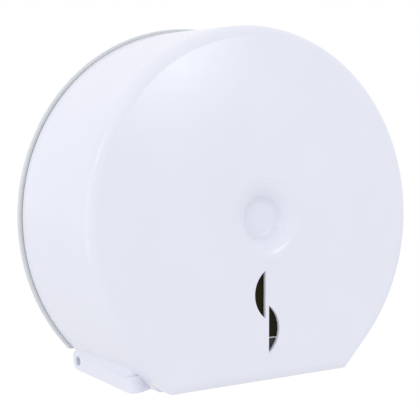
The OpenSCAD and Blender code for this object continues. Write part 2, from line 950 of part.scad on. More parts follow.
module wall_plate() color(plate_grey) off_wall()
    difference() {
        union() {
            linear_extrude(height = plate_t)
                plate_outline(plate_r - 2);
            plate_rim();
            locating_ring();
            plate_ribs();
            cylinder(r = spindle_pad_r, h = spindle_pad_h);
            for (p = wall_hole_points())
                translate([p[0], p[1], 0])
                    cylinder(r = wall_pad_r, h = wall_pad_h);
            both_sides()
                hinge_ear();
            block([-ear_out + ear_w, -lug_foot, 0], [ear_out - ear_w, -lug_foot + plate_t, foot_flange_d]);
            block(
                [-housing_half_w - housing_ear_w, housing_foot, 0],
                [housing_half_w + housing_ear_w, housing_top, latch_pad_h]
            );
        }
        for (p = wall_hole_points())
            translate([p[0], p[1], -1])
                cylinder(r = wall_hole_r, h = wall_pad_h + 2);
        for (i = [0 : 2])
            rotate([0, 0, 90 + i * 120])
                translate([foot_screw_circle_r, 0, spindle_pad_h - foot_screw_depth - seat_gap])
                    cylinder(r = foot_screw_r, h = spindle_pad_h, $fn = 48);
        translate([0, -hinge_drop, hinge_out])
            rotate([0, 90, 0])
                cylinder(r = pin_r + run_gap / 2, h = 2 * beyond, center = true);
        for (x = [-latch_screw_x, latch_screw_x])
            translate([x, latch_screw_up(), latch_pad_h - latch_screw_depth - seat_gap])
                cylinder(r = latch_screw_r, h = latch_pad_h, $fn = 48);
    }

function latch_screw_up() = (housing_foot + housing_top) / 2;

// Spindle with a round foot
module spindle() color(hub_grey) off_wall()
    difference() {
        union() {
            translate([0, 0, spindle_pad_h + seat_gap])
                cylinder(r = spindle_foot_r, h = spindle_foot_t - seat_gap);
            translate([0, 0, spindle_pad_h + 1])
                cylinder(r = spindle_r, h = spindle_end - spindle_pad_h - 1);
        }
        for (i = [0 : 2])
            rotate([0, 0, 90 + i * 120])
                translate([foot_screw_circle_r, 0, 0])
                    cylinder(r = foot_screw_r + seat_gap, h = beyond, $fn = 48);
        translate([0, 0, spindle_end - retainer_depth - 1])
            cylinder(r = retainer_screw_r + seat_gap, h = beyond, $fn = 48);
    }

// Pan-headed screw standing on the plane z = 0 with its shank below
module pan_screw(shank_r, shank_len, head_r, head_t) {
    difference() {
        union() {
            translate([0, 0, -shank_len])
                cylinder(r = shank_r, h = shank_len + head_t / 2, $fn = 48);
            cylinder(r = head_r, h = head_t, $fn = 48);
        }
        for (turn = [0, 90])
            rotate([0, 0, turn])
                block([-0.6 * head_r, -0.3, head_t / 2], [0.6 * head_r, 0.3, head_t + 1]);
    }
}

module spindle_screws() color(steel) off_wall()
    for (i = [0 : 2])
        rotate([0, 0, 90 + i * 120])
            translate([foot_screw_circle_r, 0, foot_top + seat_gap])
                pan_screw(
                    foot_screw_r - seat_gap,
                    spindle_foot_t + foot_screw_depth,
                    foot_screw_head_r,
                    foot_screw_head_t
                );

module thrust_washer() color(steel) off_wall()
    translate([0, 0, foot_top + seat_gap])
        difference() {
            cylinder(r = hub_bush_flange_r, h = washer_t);
            translate([0, 0, -1])
                cylinder(r = spindle_r + run_gap, h = washer_t + 2);
        }

module hub_retainer() color(steel) off_wall()
    translate([0, 0, retainer_back])
        difference() {
            cylinder(r = retainer_r, h = washer_t);
            translate([0, 0, -1])
                cylinder(r = retainer_screw_r + seat_gap, h = washer_t + 2, $fn = 48);
        }

module retainer_screw() color(steel) off_wall()
    translate([0, 0, retainer_top + seat_gap])
        pan_screw(retainer_screw_r, retainer_depth, retainer_head_r, retainer_head_t);

// Hub that carries the roll's core: a grooved barrel, solid at each bush, with a spigot for the flange
module roll_hub() color(hub_grey) off_wall()
    difference() {
        union() {
            translate([0, 0, hub_shoulder])
                cylinder(r = hub_r, h = hub_front - hub_shoulder);
            translate([0, 0, hub_back])
                cylinder(r = hub_spigot_r, h = hub_web);
        }
        translate([0, 0, hub_back + hub_web])
            cylinder(r = hub_r - hub_wall, h = hub_front - hub_back - 2 * hub_web);
        cylinder(r = hub_bush_r + seat_gap, h = beyond);
        for (i = [0 : groove_count - 1])
            rotate([0, 0, groove_turn + i * 360 / groove_count])
                block(
                    [hub_r - groove_d, -groove_w / 2, hub_shoulder + groove_start],
                    [hub_r + 5, groove_w / 2, hub_front + 1]
                );
    }

// Round flange that keeps the roll off the back plate
module hub_flange() color(hub_grey) off_wall()
    translate([0, 0, hub_back])
        difference() {
            cylinder(r = hub_flange_r, h = hub_flange_t);
            translate([0, 0, -1])
                cylinder(r = hub_spigot_r + seat_gap, h = hub_flange_t + 2);
        }

// Flanged bush on the spindle
module hub_bush() {
    difference() {
        union() {
            cylinder(r = hub_bush_r, h = hub_bush_flange_t + hub_web - 1);
            cylinder(r = hub_bush_flange_r, h = hub_bush_flange_t);
        }
        translate([0, 0, -1])
            cylinder(r = spindle_r + run_gap, h = beyond);
    }
}

module hub_bush_rear() color(acetal) off_wall()
    translate([0, 0, bush_back])
        hub_bush();

module hub_bush_front() color(acetal) off_wall()
    translate([0, 0, hub_front + seat_gap + hub_bush_flange_t])
        mirror([0, 0, 1])
            hub_bush();

// Guide for the plunger, open towards the plate
module latch_housing() color(hub_grey) off_wall()
    difference() {
        union() {
            block(
                [-housing_half_w, housing_foot, latch_pad_h + seat_gap],
                [housing_half_w, housing_top, housing_front]
            );
            block(
                [-housing_half_w - housing_ear_w, housing_foot, latch_pad_h + seat_gap],
                [housing_half_w + housing_ear_w, housing_top, latch_pad_h + housing_ear_t]
            );
        }
        block([-channel_half_w, housing_floor, 0], [channel_half_w, housing_roof, channel_front]);
        block(
            [-plunger_w / 2 - slide_gap, 0, plunger_out - plunger_d / 2 - slide_gap],
            [plunger_w / 2 + slide_gap, beyond, plunger_out + plunger_d / 2 + slide_gap]
        );
        for (x = [-latch_screw_x, latch_screw_x])
            translate([x, latch_screw_up(), 0])
                cylinder(r = latch_screw_r + seat_gap, h = beyond, $fn = 48);
    }

module latch_screws() color(steel) off_wall()
    for (x = [-latch_screw_x, latch_screw_x])
        translate([x, latch_screw_up(), latch_pad_h + housing_ear_t + seat_gap])
            pan_screw(
                latch_screw_r - seat_gap,
                housing_ear_t + latch_screw_depth,
                latch_screw_head_r,
                latch_screw_head_t
            );

// Sprung plunger whose head fills the slot in the cover
module latch_plunger() color(white) off_wall()
    difference() {
        union() {
            block(
                [-plunger_w / 2, shoulder_top - 1, plunger_out - plunger_d / 2],
                [plunger_w / 2, plunger_top, plunger_out + plunger_d / 2]
            );
            block(
                [-shoulder_half_w, shoulder_foot, shoulder_back],
                [shoulder_half_w, shoulder_top, shoulder_front]
            );
        }
        translate([0, shoulder_foot + spring_well_d, spring_out])
            rotate([90, 0, 0])
                cylinder(r = spring_well_r, h = 2 * spring_well_d, $fn = 48);
    }

// Points of a helix that rises along y, and a tube swept along them
spring_steps = 14;
spring_sides = 8;
spring_rings = spring_turns * spring_steps;

function spring_point(i, side) =
    let (
        turn = 360 * i / spring_steps,
        round = 360 * side / spring_sides,
        reach = spring_r + spring_wire_r * cos(round),
        rise = spring_foot + (spring_head - spring_foot) * i / spring_rings + spring_wire_r * sin(round)
    )
    [reach * cos(turn), rise, reach * sin(turn)];

module latch_spring() color(steel) off_wall()
    translate([0, 0, spring_out])
        polyhedron(
            points = [
                for (i = [0 : spring_rings], side = [0 : spring_sides - 1]) spring_point(i, side)
            ],
            faces = concat(
                [[for (side = [0 : spring_sides - 1]) side]],
                [
                    for (i = [0 : spring_rings - 1], side = [0 : spring_sides - 1])
                    let (
                        next = (side + 1) % spring_sides,
                        here = i * spring_sides,
                        there = here + spring_sides
                    )
                    [here + side, there + side, there + next, here + next]
                ],
                [[for (side = [spring_sides - 1 : -1 : 0]) spring_rings * spring_sides + side]]
            )
        );

wall_plate();
spindle();
spindle_screws();
thrust_washer();
hub_retainer();
retainer_screw();
hinge_pin_left();
hinge_pin_right();
latch_housing();
latch_screws();
latch_spring();
roll_hub();
hub_flange();
hub_bush_rear();
hub_bush_front();
latch_plunger();
cover_shell();
sight_lens();
lens_frame();
lens_clips();
hinge_bush_left();
hinge_bush_right();
tear_strip_left();
tear_strip_right();
tear_strip_rivets();
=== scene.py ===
# %% [markdown]
# # A wall dispenser for jumbo toilet rolls
# The dispenser is a round white cover, hinged low on a light grey back plate. Inside are a hub for the
# roll, a sprung plunger that latches the cover, and a dark sight lens behind two half-moon windows.
# The solids come from a imported CAD model. This script gives them a camera, light and finishes. It adds
# three soft hollows of the moulding that the solids leave sharp, and a coil that stands in for the solid
# spring. All lengths are in metres.

# %% Start
import json
import math

import bmesh
import bpy
from mathutils import Euler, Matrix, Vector


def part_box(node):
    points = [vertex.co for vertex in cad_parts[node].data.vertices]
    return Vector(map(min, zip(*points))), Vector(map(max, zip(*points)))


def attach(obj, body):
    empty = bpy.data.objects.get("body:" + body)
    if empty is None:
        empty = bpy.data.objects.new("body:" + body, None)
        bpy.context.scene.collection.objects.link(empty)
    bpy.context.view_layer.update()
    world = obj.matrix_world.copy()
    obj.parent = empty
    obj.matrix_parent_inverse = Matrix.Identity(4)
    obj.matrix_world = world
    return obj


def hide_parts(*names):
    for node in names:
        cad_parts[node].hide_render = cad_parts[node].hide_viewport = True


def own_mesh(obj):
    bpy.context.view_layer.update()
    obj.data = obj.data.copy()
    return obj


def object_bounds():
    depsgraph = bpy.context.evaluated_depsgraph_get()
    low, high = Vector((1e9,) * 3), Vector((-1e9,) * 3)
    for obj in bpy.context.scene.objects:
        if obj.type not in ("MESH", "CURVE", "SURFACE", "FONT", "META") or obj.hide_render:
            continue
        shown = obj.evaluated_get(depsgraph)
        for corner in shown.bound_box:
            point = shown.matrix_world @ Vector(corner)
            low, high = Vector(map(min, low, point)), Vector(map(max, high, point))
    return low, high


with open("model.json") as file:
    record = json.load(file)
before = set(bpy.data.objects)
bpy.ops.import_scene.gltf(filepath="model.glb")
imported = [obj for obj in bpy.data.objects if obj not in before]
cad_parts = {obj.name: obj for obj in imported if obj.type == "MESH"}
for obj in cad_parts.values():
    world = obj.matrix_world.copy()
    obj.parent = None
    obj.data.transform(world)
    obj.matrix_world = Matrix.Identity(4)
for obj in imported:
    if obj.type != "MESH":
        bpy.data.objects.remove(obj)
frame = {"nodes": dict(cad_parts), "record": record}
cad_low, cad_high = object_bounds()
print("CAD box from", tuple(round(v, 4) for v in cad_low), "to", tuple(round(v, 4) for v in cad_high))

# %% [markdown]
# ## The camera
# A product picture like this one is taken with a short telephoto lens from the left of the object and
# from a little above its middle. A camera could be aimed with a Track To constraint, but a place and a
# viewing direction written as numbers keep the picture's perspective exactly, so these are set directly:
# the camera stands two thirds of a metre away, turned 30 degrees from straight on and 2 degrees down.

# %% Camera
CAMERA_AT = Vector((-0.3523, -0.6221, 0.0304))
CAMERA_TURN = 30.5
CAMERA_DIP = 2.17
LENS_MM = 65.1
SENSOR_MM = 36.0
NEAREST_SEEN = 0.05


def sight_line(turn, dip):
    """Direction in which a camera looks that is turned from straight on and dips below the horizon."""
    a, b = math.radians(turn), math.radians(dip)
    return Vector((math.sin(a) * math.cos(b), math.cos(a) * math.cos(b), -math.sin(b)))


camera = bpy.data.objects.new("camera", bpy.data.cameras.new("camera"))
bpy.context.scene.collection.objects.link(camera)
camera.location = CAMERA_AT
camera.rotation_mode = "QUATERNION"
camera.rotation_quaternion = sight_line(CAMERA_TURN, CAMERA_DIP).to_track_quat("-Z", "Y")
camera.data.lens = LENS_MM
camera.data.sensor_width = SENSOR_MM
camera.data.clip_start = NEAREST_SEEN
bpy.context.scene.camera = camera
bpy.context.scene.view_settings.view_transform = "Standard"
print("camera", round((camera.location - (cad_low + cad_high) / 2).length, 3), "m from the middle")

# %% [markdown]
# ## Helpers for the finishes
# Every finish here is a node tree: a Principled shader with a little variation of colour, roughness and
# height, as all real surfaces have. The same few nodes come back in each, so helpers add them. Noise lies
# in the object's own coordinates. Those are in metres, so a grain of 1 mm has a scale of 1000 and keeps
# its size on every piece.

# %% Node helpers
def new_material(name):
    """A material with an empty tree, and its Principled shader joined to the output."""
    material = bpy.data.materials.new(name)
    material.use_nodes = True
    tree = material.node_tree
    tree.nodes.clear()
    shader = tree.nodes.new("ShaderNodeBsdfPrincipled")
    output = tree.nodes.new("ShaderNodeOutputMaterial")
    tree.links.new(shader.outputs["BSDF"], output.inputs["Surface"])
    return material, tree, shader


def add_noise(tree, grain, detail=3.0, stretch=(1, 1, 1)):
    """Noise in the object's coordinates whose grains are about that many metres across."""
    place = tree.nodes.new("ShaderNodeTexCoord")
    sizing = tree.nodes.new("ShaderNodeMapping")
    sizing.inputs["Scale"].default_value = stretch
    noise = tree.nodes.new("ShaderNodeTexNoise")
    noise.inputs["Scale"].default_value = 1 / grain
    noise.inputs["Detail"].default_value = detail
    tree.links.new(place.outputs["Object"], sizing.inputs["Vector"])
    tree.links.new(sizing.outputs["Vector"], noise.inputs["Vector"])
    return noise


def add_range(tree, value, low_in, high_in, low_out=0.0, high_out=1.0):
    """Carries a value over from one range to another, and gives back the new value."""
    spread = tree.nodes.new("ShaderNodeMapRange")
    spread.inputs["From Min"].default_value = low_in
    spread.inputs["From Max"].default_value = high_in
    spread.inputs["To Min"].default_value = low_out
    spread.inputs["To Max"].default_value = high_out
    tree.links.new(value, spread.inputs["Value"])
    return spread.outputs["Result"]


def larger_of(tree, first, second):
    """The larger of two values: yes where at least one of them is yes."""
    node = tree.nodes.new("ShaderNodeMath")
    node.operation = "MAXIMUM"
    tree.links.new(first, node.inputs[0])
    tree.links.new(second, node.inputs[1])
    return node.outputs["Value"]


# %% [markdown]
# Three more helpers use them on a shader: one for colour, one for roughness and one for height. Nearly all
# values of a noise lie between 0.3 and 0.7, so that stretch is spread over the whole drift. Height goes
# through a Bump node, which only tilts the light's reflection, so it suits a grain that is far too shallow
# to be seen in the outline.

# %% Surface helpers
QUIET, LOUD = 0.3, 0.7
EDGE_SAMPLES = 6


def vary_colour(tree, shader, noise, colour, drift):
    """Lets the base colour drift a little darker and lighter with a noise."""
    ramp = tree.nodes.new("ShaderNodeValToRGB")
    ramp.color_ramp.elements[0].position = QUIET
    ramp.color_ramp.elements[1].position = LOUD
    for element, factor in zip(ramp.color_ramp.elements, (1 - drift, 1 + drift)):
        element.color = [min(c * factor, 1.0) for c in colour] + [1.0]
    tree.links.new(noise.outputs["Fac"], ramp.inputs["Fac"])
    tree.links.new(ramp.outputs["Color"], shader.inputs["Base Color"])


def vary_roughness(tree, shader, noise, low, high):
    """Lets the roughness move between two values with a noise."""
    roughness = add_range(tree, noise.outputs["Fac"], QUIET, LOUD, low, high)
    tree.links.new(roughness, shader.inputs["Roughness"])


def add_relief(tree, shader, noise, height, edge_radius=0.0):
    """Raises the surface by a noise, on top of softly rounded edges."""
    bump = tree.nodes.new("ShaderNodeBump")
    bump.inputs["Strength"].default_value = 1.0
    bump.inputs["Distance"].default_value = height
    tree.links.new(noise.outputs["Fac"], bump.inputs["Height"])
    if edge_radius:
        rounding = tree.nodes.new("ShaderNodeBevel")
        rounding.samples = EDGE_SAMPLES
        rounding.inputs["Radius"].default_value = edge_radius
        tree.links.new(rounding.outputs["Normal"], bump.inputs["Normal"])
    tree.links.new(bump.outputs["Normal"], shader.inputs["Normal"])


# %% [markdown]
# ## The white cover
# The cover is moulded from glossy ABS with a faintly bluish white. Gloss that is perfectly smooth looks
# like glass, so the surface gets the shallow ripple that moulded plastic has: grains of 2 mm that rise
# a few thousandths of a millimetre. A roughness near 0.2 keeps the lamps' reflections soft but still
# bright enough to draw a crescent in the dish. The Bevel node rounds the shading of sharp edges. Pieces
# that melt into the cover have thin hidden edges, so they use the same plastic without it.

# %% White plastic
PLASTIC_IOR = 1.49
COLOUR_GRAIN, GLOSS_GRAIN = 0.06, 0.012
GLOSS_DRIFT = 0.03
WHITE = (0.775, 0.79, 0.893)
WHITE_ROUGHNESS = 0.2
RIPPLE_GRAIN, RIPPLE_HEIGHT = 0.0022, 0.000006


def moulded(name, colour, roughness, grain, relief, drift=0.012, edge=0.0004):
    """A moulded plastic: nearly even colour, soft gloss and a very shallow surface grain."""
    material, tree, shader = new_material(name)
    vary_colour(tree, shader, add_noise(tree, COLOUR_GRAIN), colour, drift)
    gloss = add_noise(tree, GLOSS_GRAIN)
    vary_roughness(tree, shader, gloss, roughness - GLOSS_DRIFT, roughness + GLOSS_DRIFT)
    add_relief(tree, shader, add_noise(tree, grain), relief, edge)
    shader.inputs["IOR"].default_value = PLASTIC_IOR
    print(name, "has roughness", roughness, "and a grain of", round(grain * 1000, 2), "mm")
    return material


white_plastic = moulded("white_plastic", WHITE, WHITE_ROUGHNESS, RIPPLE_GRAIN, RIPPLE_HEIGHT)
white_unrounded = moulded("white_unrounded", WHITE, WHITE_ROUGHNESS, RIPPLE_GRAIN, RIPPLE_HEIGHT, edge=0.0)

# %% [markdown]
# ## The grey mouldings
# The back plate is a plainer grade of plastic: light grey and satin, with a spark-eroded grain. Hub,
# spindle and latch housing are a darker grey that hides wear. The frame behind the lens is black, so that
# it can't be made out through the lens. The bushes are off-white acetal, a waxy plastic into which some
# light sinks, so it gets a little subsurface scattering.

# %% Grey plastics and acetal
SINKING_SHARE, SINKING_DEPTH = 0.15, 0.002
NEAR_BLACK = (0.012, 0.012, 0.012)
plate_grey = moulded("plate_grey", (0.68, 0.71, 0.74), roughness=0.45, grain=0.0007, relief=0.00002)
hub_grey = moulded("hub_grey", (0.36, 0.38, 0.41), roughness=0.5, grain=0.0007, relief=0.00003)
black_plastic = moulded("black_plastic", NEAR_BLACK, roughness=0.55, grain=0.0006, relief=0.00003)
acetal = moulded("acetal", (0.78, 0.78, 0.73), roughness=0.4, grain=0.0015, relief=0.000006, edge=0.0002)
acetal_shader = acetal.node_tree.nodes["Principled BSDF"]
acetal_shader.inputs["Subsurface Weight"].default_value = SINKING_SHARE
acetal_shader.inputs["Subsurface Scale"].default_value = SINKING_DEPTH

# %% [markdown]
# ## The painted shade in the seam
# Between the plate's rim and the cover is a seam less than a millimetre wide. Little light gets in, so it
# reads as a thin dark line, painted here as shade in the plate's colour. A black ring could be laid in it,
# but it would show as a loose piece with the cover open. The Ambient Occlusion node measures instead how
# much of a point's view is blocked close by, and paints that shade into the plate's colour, only out at the
# rim.

# %% Paint shade into the seam
SEAM_REACH = 0.0015
SEAM_SHUT, SEAM_CLEAR = 0.42, 0.8
SHADE_FROM_RADIUS = 0.1655


def nearer_than(tree, radius):
    """One where a point of the object is nearer to the roll's axis than radius, and nought beyond it."""
    place = tree.nodes.new("ShaderNodeTexCoord")
    flatten = tree.nodes.new("ShaderNodeVectorMath")
    flatten.operation = "MULTIPLY"
    flatten.inputs[1].default_value = (1, 0, 1)
    distance = tree.nodes.new("ShaderNodeVectorMath")
    distance.operation = "LENGTH"
    inside = tree.nodes.new("ShaderNodeMath")
    inside.operation = "LESS_THAN"
    inside.inputs[1].default_value = radius
    tree.links.new(place.outputs["Object"], flatten.inputs[0])
    tree.links.new(flatten.outputs["Vector"], distance.inputs[0])
    tree.links.new(distance.outputs["Value"], inside.inputs[0])
    return inside.outputs["Value"]


def paint_shade_in_seam(tree, from_radius):
    """Paints shade into a plate's colour where another piece stands close to it, but only beyond a radius.
    """
    shader = tree.nodes["Principled BSDF"]
    colour = shader.inputs["Base Color"].links[0].from_socket
    openness = tree.nodes.new("ShaderNodeAmbientOcclusion")
    openness.inputs["Distance"].default_value = SEAM_REACH
    # The occlusion factor is painted shade: it darkens the plate's colour in the seam.
    painted_shade = add_range(tree, openness.outputs["AO"], SEAM_SHUT, SEAM_CLEAR)
    scaling = tree.nodes.new("ShaderNodeVectorMath")
    scaling.operation = "SCALE"
    tree.links.new(colour, scaling.inputs[0])
    tree.links.new(larger_of(tree, painted_shade, nearer_than(tree, from_radius)), scaling.inputs["Scale"])
    tree.links.new(scaling.outputs["Vector"], shader.inputs["Base Color"])
    print("seam goes dark beyond a radius of", from_radius)


paint_shade_in_seam(plate_grey.node_tree, SHADE_FROM_RADIUS)

# %% [markdown]
# ## The metal pieces
# Screws, washers and clips are zinc-plated steel. Turned and drawn metal is scratched along one way, so
# the noise is stretched along the width of the object, which is how the hinge pins lie. The pins are
# painted paler than the rest, as painted light that lifts the shade in the recesses they sit in.

# %% Steel
TARNISH_GRAIN, TARNISH = 0.01, 0.06
MARK_GRAIN, MARK_DRIFT = 0.002, 0.08
SCRATCH_GRAIN, SCRATCH_DEPTH, METAL_EDGE = 0.0008, 0.00001, 0.0002
ALONG_WIDTH, ALONG_HEIGHT = (0.15, 1, 1), (1, 1, 0.2)


def metal(name, colour, roughness, stretch):
    """A plated metal with fine marks along one direction."""
    material, tree, shader = new_material(name)
    shader.inputs["Metallic"].default_value = 1.0
    vary_colour(tree, shader, add_noise(tree, TARNISH_GRAIN), colour, TARNISH)
    marks = add_noise(tree, MARK_GRAIN, stretch=stretch)
    vary_roughness(tree, shader, marks, roughness - MARK_DRIFT, roughness + MARK_DRIFT)
    add_relief(tree, shader, add_noise(tree, SCRATCH_GRAIN, stretch=stretch), SCRATCH_DEPTH, METAL_EDGE)
    print(name, "has roughness", roughness)
    return material


steel = metal("steel", (0.6, 0.61, 0.63), roughness=0.34, stretch=ALONG_WIDTH)
# A paler steel for the pins: painted light against the shade in their recesses.
pin_steel_painted_light = metal("pin_steel_painted_light", (0.84, 0.83, 0.8), roughness=0.45, stretch=ALONG_WIDTH)
spring_steel = metal("spring_steel", (0.42, 0.43, 0.45), roughness=0.3, stretch=ALONG_HEIGHT)

# %% [markdown]
# ## The sight lens
# The lens is smoked plastic: dark brown, smooth, and a little of the light passes through. Its near-black
# colour is partly the smoked plastic's own and partly painted shade of the dark inside behind it. A glass
# shader would need a bright inside to be seen at all, so most of the colour is on the surface and a small
# part of the light is transmitted. In a white room a full gloss would lay a grey veil over the dark
# windows, so the strength of its reflection is kept low.

# %% Smoked lens
SMOKE_AND_PAINTED_SHADE, SMOKE_GRAIN, SMOKE_DRIFT = (0.014, 0.012, 0.003), 0.03, 0.15
SMEAR_GRAIN, CLEANEST, DULLEST = 0.02, 0.06, 0.1
WAVE_GRAIN, WAVE_HEIGHT, LENS_EDGE = 0.006, 0.000004, 0.0002
LIGHT_THROUGH = 0.08
LENS_GLOSS = 0.05
smoked_lens, lens_tree, lens_shader = new_material("smoked_lens")
# The lens colour is partly smoked plastic and partly painted shade of the dark inside.
vary_colour(lens_tree, lens_shader, add_noise(lens_tree, SMOKE_GRAIN), SMOKE_AND_PAINTED_SHADE, SMOKE_DRIFT)
vary_roughness(lens_tree, lens_shader, add_noise(lens_tree, SMEAR_GRAIN), CLEANEST, DULLEST)
add_relief(lens_tree, lens_shader, add_noise(lens_tree, WAVE_GRAIN), WAVE_HEIGHT, LENS_EDGE)
lens_shader.inputs["Transmission Weight"].default_value = LIGHT_THROUGH
lens_shader.inputs["IOR"].default_value = PLASTIC_IOR
lens_shader.inputs["Specular IOR Level"].default_value = LENS_GLOSS
print("smoked_lens lets", LIGHT_THROUGH, "of the light through")

# %% [markdown]
# ## Finishes on the solids
# The finishes could be put on piece by piece. But each solid names its material slot in the record, so one
# loop dresses all of them and forgets none. The two hinge pins then get their own paler steel, painted
# light against the shade in their recesses.

# %% Dress the solids
FINISHES = {
    "white_plastic": white_plastic,
    "plate_grey": plate_grey,
    "hub_grey": hub_grey,
    "black_plastic": black_plastic,
    "acetal": acetal,
    "steel": steel,
    "spring_steel": spring_steel,
    "smoked_lens": smoked_lens,
}
for part in frame["record"]["subparts"]:
    solid = frame["nodes"][part["node"]]
    solid.data.materials.clear()
    solid.data.materials.append(FINISHES[part["material_slot"]])
    print(part["node"], "is", part["material_slot"])
# The pins' paler steel is painted light.
for name in ("hinge_pin_left", "hinge_pin_right"):
    frame["nodes"][name].data.materials[0] = pin_steel_painted_light

# %% [markdown]
# ## A way to make long pieces
# The hollows of the moulding and the spring's wire are all long pieces with an outline that wanders along
# a path. A curve with a bevel profile could make them, but it keeps its outline the same all the way, and
# the hollows over the lugs have to change theirs. So the outline is written out as a ring of points at
# each step, and bmesh joins each ring to the next with faces. Smooth shading hides the steps, and edges
# that turn by more than 40 degrees stay sharp.

# %% Closed strips
SHARP_DEGREES = 40


def closed_strip(name, rings, material, body, ends_meet=False):
    """A closed strip through rings of points, which takes a slot's finish and rides on a body."""
    mesh = bmesh.new()
    rows = [[mesh.verts.new(point) for point in ring] for ring in rings]
    following_rows = rows[1:] + rows[:1] if ends_meet else rows[1:]
    for row, following in zip(rows, following_rows):
        for i in range(len(row)):
            j = (i + 1) % len(row)
            mesh.faces.new((row[i], row[j], following[j], following[i]))
    if not ends_meet:
        mesh.faces.new(rows[0])
        mesh.faces.new(rows[-1])
    bmesh.ops.recalc_face_normals(mesh, faces=mesh.faces)
    for face in mesh.faces:
        face.smooth = True
    data = bpy.data.meshes.new(name)
    mesh.to_mesh(data)
    mesh.free()
    data.set_sharp_from_angle(angle=math.radians(SHARP_DEGREES))
    data.materials.append(material)
    strip = bpy.data.objects.new(name, data)
    bpy.context.scene.collection.objects.link(strip)
    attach(strip, body)
    print(name, [round(v, 3) for v in strip.dimensions], len(data.polygons), "faces")
    return strip


# %% [markdown]
# ## The soft valleys over the lugs
# A mould has no sharp inner corner where a lug grows out of the casing: the steel there is rounded, and
# the plastic runs from one to the other in a hollow curve. A Boolean and a bevel could cut it, but they
# fail easily on two nearly tangent surfaces. Here each valley is filled with its own closed strip. At
# every depth the casing is a circle, and the lug has a flat top that ends in a smaller circle. The hollow
# is the arc of a third circle that touches both, whose centre is the corner of a triangle with known
# sides.

# %% Shapes that the valley touches
CASING_RADIUS = 0.168
CASING_LEAN = math.radians(6.5)
SKIRT_END = 0.0046
LUG_EDGE_RADIUS = 0.005
LUG_FOOT = Vector((0.1223, -0.1235, 0.009))
LUG_TURN = Euler((math.radians(3.8), math.radians(-7.6), 0.0)).to_matrix()
LUG_EDGE_AT = Vector((-0.005, 0.0034))


def casing_radius(depth):
    """Radius of the casing at a depth in front of the wall, less the draft of the mould."""
    return CASING_RADIUS - math.tan(CASING_LEAN) * (depth - SKIRT_END)


def lug_edge_centre(depth):
    """Across and up: the middle of the rounding along the lug's upper edge at that depth."""
    out = LUG_TURN.row[2]
    along = (depth - LUG_FOOT.z - out.x * LUG_EDGE_AT.x - out.y * LUG_EDGE_AT.y) / out.z
    return (LUG_FOOT + LUG_TURN @ Vector((LUG_EDGE_AT.x, LUG_EDGE_AT.y, along))).xy


print("at the rear the lug's edge is", round(lug_edge_centre(SKIRT_END).length, 4), "m from the axis")

# %% [markdown]
# The outline of a valley is the arc and a few points behind it. Those are pushed a little into the solids,
# so that the strip has no open rim. Where the third circle lies over the lug's flat top it touches that,
# and otherwise it touches the lug's rounded edge.

# %% Outline of a valley
VALLEY_RADIUS = 0.006
VALLEY_FROM, VALLEY_TO = 0.0052, 0.0895
SUNK = 0.0006
ARC_STEPS = 14


def arc_points(middle, radius, start, turn):
    """Points on a circle from a start angle through a turn."""
    angles = [start + turn * step / ARC_STEPS for step in range(ARC_STEPS + 1)]
    return [middle + radius * Vector((math.cos(angle), math.sin(angle))) for angle in angles]


def valley_section(depth, radius):
    """Closed outline across and up: the hollow arc from casing to lug, and back inside the solids."""
    casing, edge = casing_radius(depth), lug_edge_centre(depth)
    far, near, apart = casing + radius, LUG_EDGE_RADIUS + radius, edge.length
    level = edge.y + near
    middle = Vector((math.sqrt(far**2 - level**2), level))
    touch_lug = Vector((middle.x, edge.y + LUG_EDGE_RADIUS))
    if middle.x > edge.x:
        along = (apart**2 + far**2 - near**2) / (2 * apart)
        away = math.sqrt(far**2 - along**2)
        middle = (edge * along + Vector((-edge.y, edge.x)) * away) / apart
        touch_lug = edge + (middle - edge) * LUG_EDGE_RADIUS / near
    touch_casing = middle * casing / far
    start = math.atan2(*(touch_casing - middle).yx)
    turn = math.atan2(*(touch_lug - middle).yx) - start
    turn = (turn + math.pi) % (2 * math.pi) - math.pi
    corner = (touch_casing + touch_lug) / 2
    behind = [
        touch_lug + (touch_lug - middle).normalized() * SUNK,
        corner + (corner - middle).normalized() * 2 * SUNK,
        touch_casing + (touch_casing - middle).normalized() * SUNK,
    ]
    return arc_points(middle, radius, start, turn) + behind


rear_outline = valley_section(VALLEY_FROM, VALLEY_RADIUS)
print("at the rear a valley is", round((rear_outline[0] - rear_outline[ARC_STEPS]).length, 4), "m wide")

# %% [markdown]
# Each strip runs from the cover's rear edge to the front end of the lug, and grows thin over the last
# stretch. The right one mirrors the left one.

# %% Valley strips
VALLEY_FADE = 0.009
THINNEST_SHARE = 0.06
DEPTH_STEPS = 44

for side, name in ((-1, "lug_valley_left"), (1, "lug_valley_right")):
    rings = []
    for step in range(DEPTH_STEPS + 1):
        depth = VALLEY_FROM + (VALLEY_TO - VALLEY_FROM) * step / DEPTH_STEPS
        fade = min(1.0, (VALLEY_TO - depth) / VALLEY_FADE)
        share = THINNEST_SHARE + (1 - THINNEST_SHARE) * math.sin(fade * math.pi / 2)
        rings.append([(side * p.x, -depth, p.y) for p in valley_section(depth, VALLEY_RADIUS * share)])
    closed_strip(name, rings, white_unrounded, "cover")

# %% [markdown]
# ## The hollow round the dish's floor
# In the dish the wall runs down to a flat floor. On the moulding a hollow curve joins the two, and without
# it a dark line would ring the floor. The same way serves: an arc that touches the floor and the wide
# rounding of the wall, this time swept round the roll's axis until its ends meet. The arc dips into both
# by a hair and runs on a little past them, so that its edges lie hidden inside the cover. From there the
# outline goes back through the hidden corner between floor and wall.

# %% Dish hollow
DISH_RADIUS = 0.033
DISH_FLOOR = 0.105
DISH_ROUNDING = 0.020
DISH_ROUNDING_DEPTH = 0.0959
HOLLOW_RADIUS = 0.006
DIP = 0.00004
OVERRUN = math.radians(6)
CORNER_OUT = 0.004
TURN_STEPS = 128


